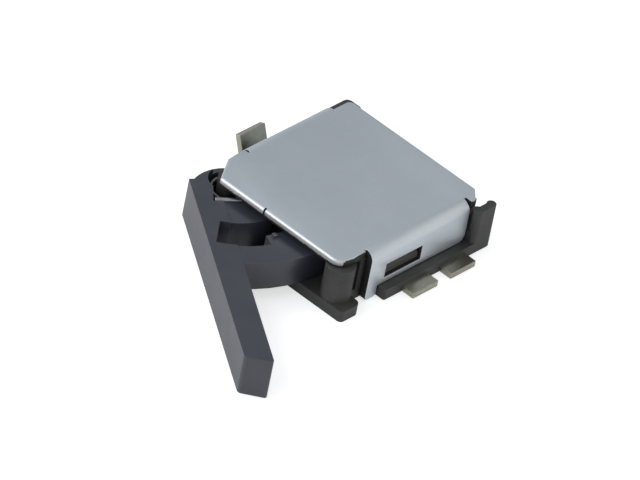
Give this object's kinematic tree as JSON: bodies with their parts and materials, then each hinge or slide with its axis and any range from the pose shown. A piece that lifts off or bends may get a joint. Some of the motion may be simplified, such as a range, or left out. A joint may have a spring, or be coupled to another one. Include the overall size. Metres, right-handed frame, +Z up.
{
  "type": "sensor switch",
  "caption": "Low-profile surface-mount detector switch: moulded case, snapped sheet cover, side lever with a return spring, flat solder feet.",
  "frame": {"origin": "centre of the case's footprint on its flat underside", "axes": "+Z up off the board, -Y the side that the lever stands out of, +X the side with the two solder feet"},
  "size_m": [0.0049, 0.0067, 0.001],
  "materials": {
    "case_moulding": "matt moulded",
    "cover_sheet": "plain rolled sheet, satin",
    "lever_moulding": "matt moulded",
    "spring_wire": "drawn wire",
    "contact_sheet": "rolled spring sheet",
    "terminal_strip": "plated strip, satin"
  },
  "bodies": {
    "case": {"base": "case_moulding", "cover": "cover_sheet", "terminal_common": "terminal_strip", "terminal_contact": "terminal_strip", "terminal_side": "terminal_strip"},
    "lever": {"lever": "lever_moulding", "moving_contact": "contact_sheet", "torsion_spring": "spring_wire"}
  },
  "joints": [
    {"name": "lever_pivot", "type": "hinge", "parent": "case", "child": "lever", "pos_m": [-0.00141, -0.00149, 0.00045], "axis": [0, 0, 1], "range_deg": [0, 28], "stiffness_Nm_per_rad": 0.0015, "deforming": ["torsion_spring"]}
  ]
}
